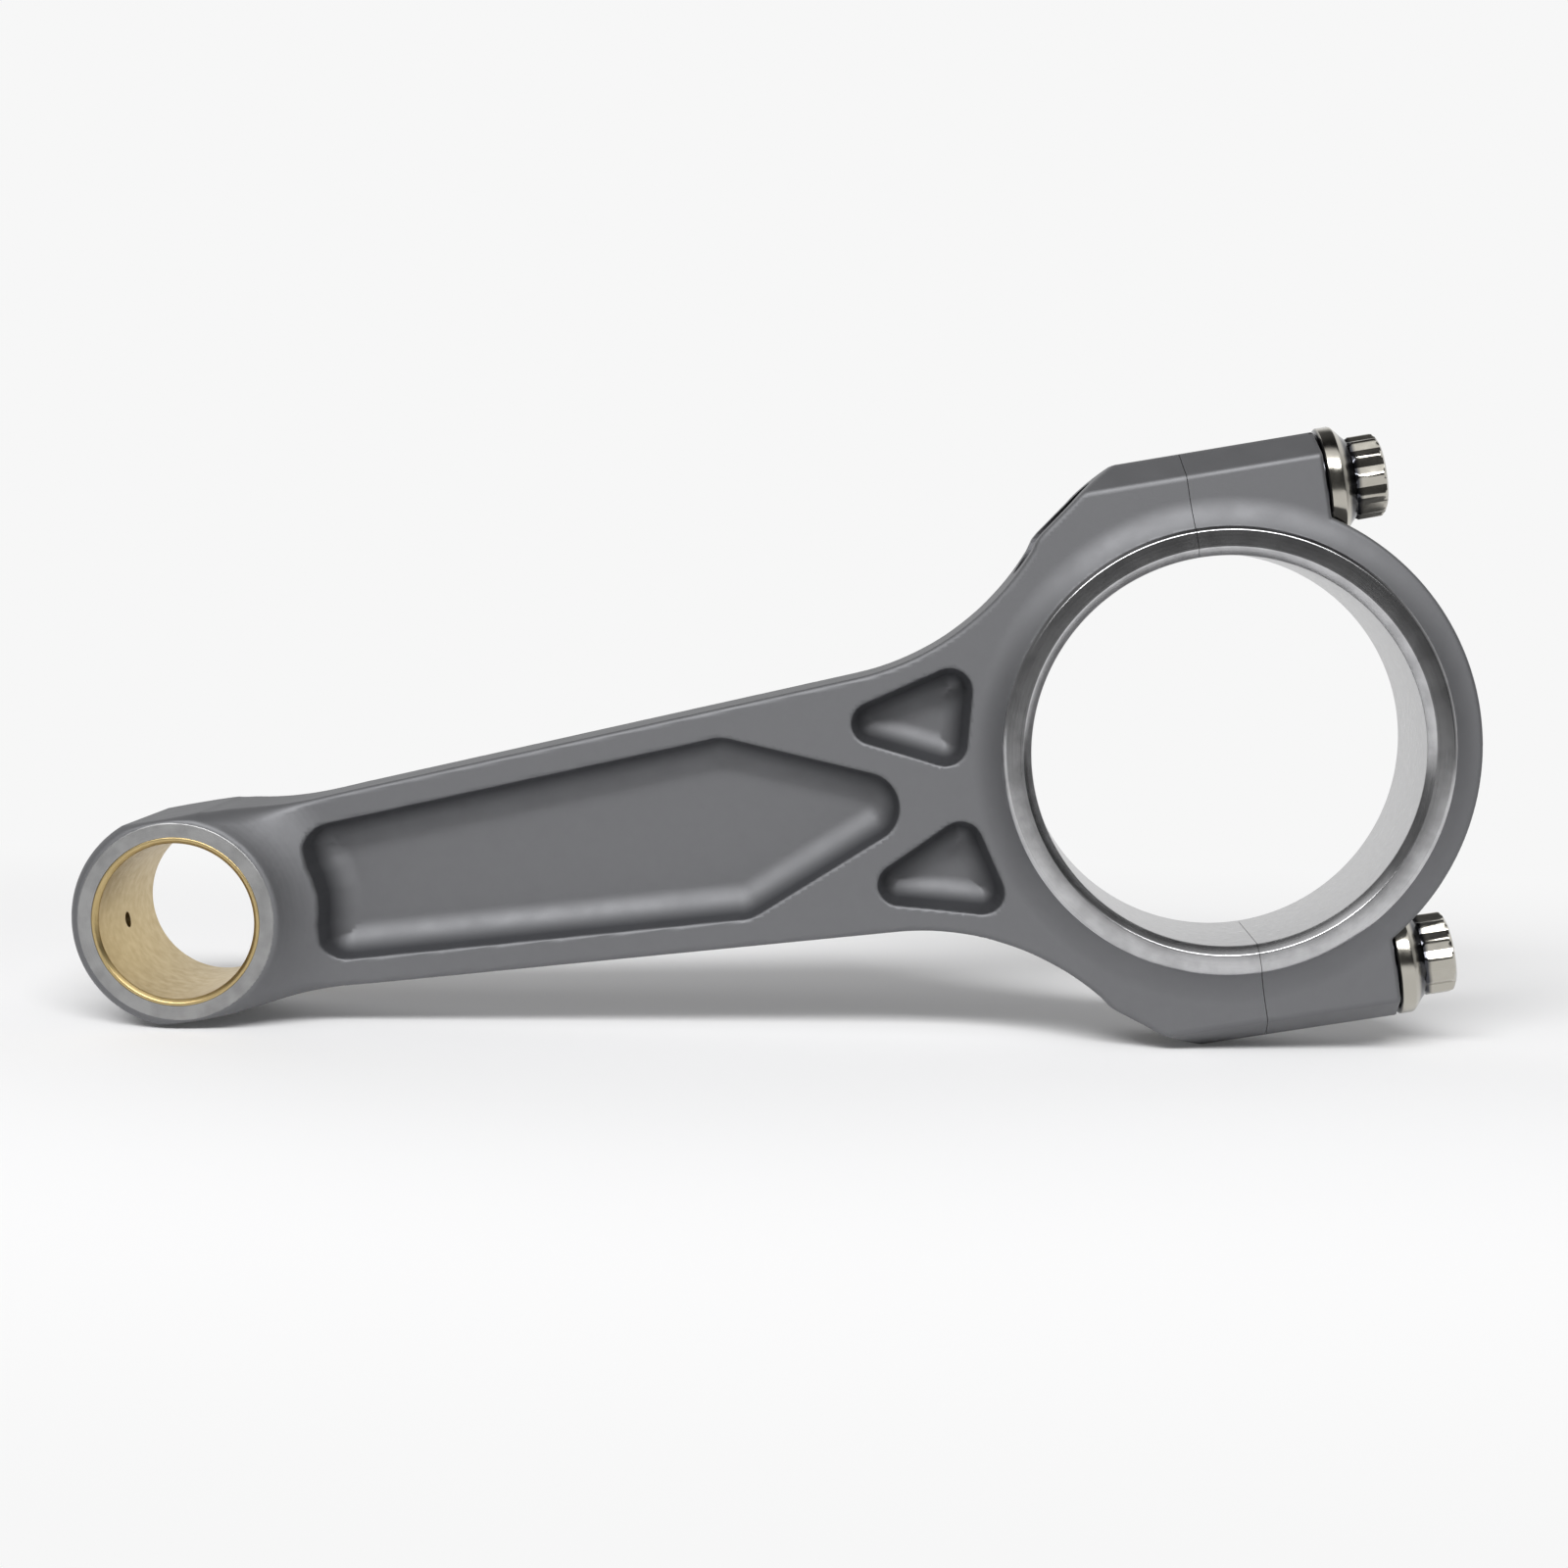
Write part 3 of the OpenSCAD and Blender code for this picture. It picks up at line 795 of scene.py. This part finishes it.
def build_big_end(ground):
    """The two forgings with the machined skins of the big end."""
    steels = (peened_steel(), ground, drilled_steel())
    turned = turned_steel("turned_big_end", 0, (0.56, 0.56, 0.57), 0.16, 0.28)
    honed = honed_steel()
    notch_y, notch_r, notch_l = NOTCH
    through = 60
    clear_of_cap = 50
    holes = bolt_bars("hole", -through, through, HOLE_R)
    recess_r, spot_r = SLEEVE_R + 0.05, FLANGE_R + 0.6
    recesses = bolt_bars("recess", -SLEEVE_L / 2, SLEEVE_L / 2 + RECESS_GAP, recess_r)
    spots = bolt_bars("spot", SEAT_X, clear_of_cap, spot_r, steps=96)
    notch = rod_bar("notch", -notch_l / 2, notch_l / 2, notch_r, y=notch_y, z=CRANK_R)
    oil = oil_bar()
    past_stock = SAW_STOCK + 8
    sawn_rod = block("sawn_rod", -SAW_GAP, past_stock)
    sawn_cap = block("sawn_cap", -past_stock, SAW_GAP)

    rod_box = ((-173, -14.5, -45), (3, 14.5, 45))
    cap_box = ((-3, -12.5, -45), (38, 12.5, 45))
    rod_net = net(rod_field, *rod_box, NET_STEP)
    body = new_piece("rod_forging", *rod_net, *steels)
    machine(body, [sawn_rod, *holes, notch, oil])
    finish_piece(body, "rod", "forging", "rod_body", field=rod_field)

    cap_net = net(cap_field, *cap_box, CAP_NET_STEP)
    cap = new_piece("cap_forging", *cap_net, *steels)
    machine(cap, [sawn_cap, *holes, *recesses, *spots, notch])
    finish_piece(cap, "cap", "forging", "rod_cap", field=cap_field)

    for name, body_name, side in (("rod_thrust_skin", "rod", -1), ("cap_thrust_skin", "cap", 1)):
        skin = thrust_skin(name, side, turned, honed)
        machine(skin, [notch])
        finish_piece(skin, body_name, "forging")
    discard(*holes, *recesses, *spots, notch, oil, sawn_rod, sawn_cap)


def build_small_end():
    """The machined faces of the small end and its bushing."""
    turned = turned_steel("turned_small_end", EYE_X, (0.37, 0.37, 0.37), 0.5, 0.6)
    for name, side in (("small_end_front", -1), ("small_end_back", 1)):
        finish_piece(eye_face(name, side, turned), "rod", "forging")
    bush = bushing(bronze())
    oil = oil_bar()
    machine(bush, [oil])
    finish_piece(bush, "rod", "bronze", "pin_bushing")
    discard(oil)


def build_fasteners(ground):
    """The two cap bolts and the sleeve round each."""
    nickel = bolt_nickel()
    for name, side in (("upper", 1), ("lower", -1)):
        bolt = cap_bolt(f"{name}_bolt", side * BOLT_Z, nickel)
        finish_piece(bolt, f"{name}_bolt", "bolt", f"{name}_cap_bolt", crease=24)
        ring = sleeve(f"{name}_sleeve", side * BOLT_Z, ground)
        finish_piece(ring, "rod", "sleeve", f"{name}_alignment_sleeve")


# ---------------------------------------------------------------- camera, floor and light

PALE = (0.93, 0.93, 0.93)                    # what the floor melts into
MIDDLE = ((cad_low.x + cad_high.x) / 2, 0)   # where the lamp aims
CAMERA_AT = (-46.826, -368.688, 31.539)      # millimetres
YAW, PITCH_DOWN, ROLL = 0.0479, 0.1045, 0.0176


def place_camera():
    """A view along +Y from in front, looking a little down on the rod."""
    camera = bpy.data.objects.new("camera", bpy.data.cameras.new("camera"))
    bpy.context.scene.collection.objects.link(camera)
    level = math.cos(PITCH_DOWN)
    ahead = Vector((-math.sin(YAW) * level, math.cos(YAW) * level, -math.sin(PITCH_DOWN)))
    right = Vector((math.cos(YAW), math.sin(YAW), 0))
    up = right.cross(ahead)
    side = math.cos(ROLL) * right + math.sin(ROLL) * up
    top = math.cos(ROLL) * up - math.sin(ROLL) * right
    turn = Matrix((side, top, -ahead)).transposed().to_4x4()
    camera.matrix_world = Matrix.Translation(Vector(CAMERA_AT) * MM) @ turn
    camera.data.sensor_width = 36
    camera.data.lens = 56.88
    camera.data.clip_start = 0.01
    bpy.context.scene.camera = camera


def ramp(tree, source, start, stop, low, high):
    """Maps a value from start..stop to low..high, smoothly."""
    node = tree.nodes.new("ShaderNodeMapRange")
    node.interpolation_type = "SMOOTHSTEP"
    for key, value in zip(("From Min", "From Max", "To Min", "To Max"), (start, stop, low, high)):
        node.inputs[key].default_value = value
    tree.links.new(source, node.inputs["Value"])
    return node.outputs["Result"]


def product(tree, a, b):
    """The product of two values."""
    node = tree.nodes.new("ShaderNodeMath")
    node.operation = "MULTIPLY"
    tree.links.new(a, node.inputs[0])
    tree.links.new(b, node.inputs[1])
    return node.outputs[0]


def place_floor():
    """Plain pale floor that takes shadows near the rod and melts into the room further out."""
    material = bpy.data.materials.new("floor")
    material.use_nodes = True
    tree = material.node_tree
    surface = tree.nodes["Principled BSDF"]
    surface.inputs["Base Color"].default_value = (0.86, 0.86, 0.865, 1)
    surface.inputs["Roughness"].default_value = 0.9
    surface.inputs["Specular IOR Level"].default_value = 0.1
    place = tree.nodes.new("ShaderNodeTexCoord")
    along, across = 0.6, 1.5
    spread = tree.nodes.new("ShaderNodeVectorMath")
    spread.operation = "MULTIPLY"
    spread.inputs[1].default_value = (along, across, 0)
    tree.links.new(place.outputs["Object"], spread.inputs[0])
    reach = tree.nodes.new("ShaderNodeVectorMath")
    reach.operation = "DISTANCE"
    reach.inputs[1].default_value = (along * MIDDLE[0], 0, 0)
    tree.links.new(spread.outputs["Vector"], reach.inputs[0])
    glow = tree.nodes.new("ShaderNodeEmission")
    glow.inputs["Color"].default_value = (*PALE, 1)
    mix = tree.nodes.new("ShaderNodeMixShader")
    tree.links.new(ramp(tree, reach.outputs["Value"], 0.08, 0.3, 0.05, 1), mix.inputs[0])
    tree.links.new(surface.outputs[0], mix.inputs[1])
    tree.links.new(glow.outputs[0], mix.inputs[2])
    tree.links.new(mix.outputs[0], tree.nodes["Material Output"].inputs["Surface"])
    left, right, front, back = -1.5, 0.3, -0.32, 6.0
    z = FLOOR_Z * MM
    corners = [(left, front, z), (right, front, z), (right, back, z), (left, back, z)]
    mesh = bpy.data.meshes.new("floor")
    mesh.from_pydata(corners, [], [(0, 1, 2, 3)])
    mesh.materials.append(material)
    floor = bpy.data.objects.new("floor", mesh)
    bpy.context.scene.collection.objects.link(floor)


def place_room():
    """A pale backdrop behind the rod and a dim room on the camera's side."""
    world = bpy.data.worlds.new("studio")
    bpy.context.scene.world = world
    world.use_nodes = True
    tree = world.node_tree
    background = tree.nodes["Background"]
    where = tree.nodes.new("ShaderNodeTexCoord")
    split = tree.nodes.new("ShaderNodeSeparateXYZ")
    tree.links.new(where.outputs["Generated"], split.inputs[0])
    side = ramp(tree, split.outputs["X"], -0.6, 0.5, 0.12, 0.04)
    depth = ramp(tree, split.outputs["Y"], -0.1, 0.6, 0, 0.95)
    left = ramp(tree, split.outputs["X"], -0.55, 0, 0.8, 0.1)
    overhead = ramp(tree, split.outputs["Z"], 0.45, 0.8, 1, 0)
    tree.links.new(left, overhead.node.inputs["To Max"])
    front = ramp(tree, split.outputs["Y"], -0.15, -0.4, 0, 1)
    above = ramp(tree, split.outputs["Z"], 0.5, 0.7, 0, 1)
    tree.links.new(side, depth.node.inputs["To Min"])
    window = product(tree, front, above)
    lit = tree.nodes.new("ShaderNodeMath")
    lit.operation = "ADD"
    tree.links.new(product(tree, depth, overhead), lit.inputs[0])
    tree.links.new(window, lit.inputs[1])
    seen = tree.nodes.new("ShaderNodeLightPath")
    mix = tree.nodes.new("ShaderNodeMix")
    mix.data_type = "RGBA"
    tree.links.new(seen.outputs["Is Camera Ray"], mix.inputs["Factor"])
    tree.links.new(lit.outputs[0], mix.inputs["A"])
    mix.inputs["B"].default_value = (*PALE, 1)
    tree.links.new(mix.outputs["Result"], background.inputs["Color"])


def softbox(name, place, width, height, energy):
    """An area light aimed at the rod's middle."""
    lamp = bpy.data.lights.new(name, "AREA")
    lamp.shape = "RECTANGLE"
    lamp.size = width
    lamp.size_y = height
    lamp.energy = energy
    light = bpy.data.objects.new(name, lamp)
    light.location = place
    aim = Vector((*MIDDLE, 0)) - light.location
    light.rotation_euler = aim.to_track_quat("-Z", "Y").to_euler()
    bpy.context.scene.collection.objects.link(light)


bpy.context.scene.view_settings.view_transform = "Standard"
place_camera()
place_floor()
place_room()
softbox("key", (-0.1, -1.12, 1.02), 1.6, 0.36, 27)
ground = ground_steel()
build_big_end(ground)
build_small_end()
build_fasteners(ground)
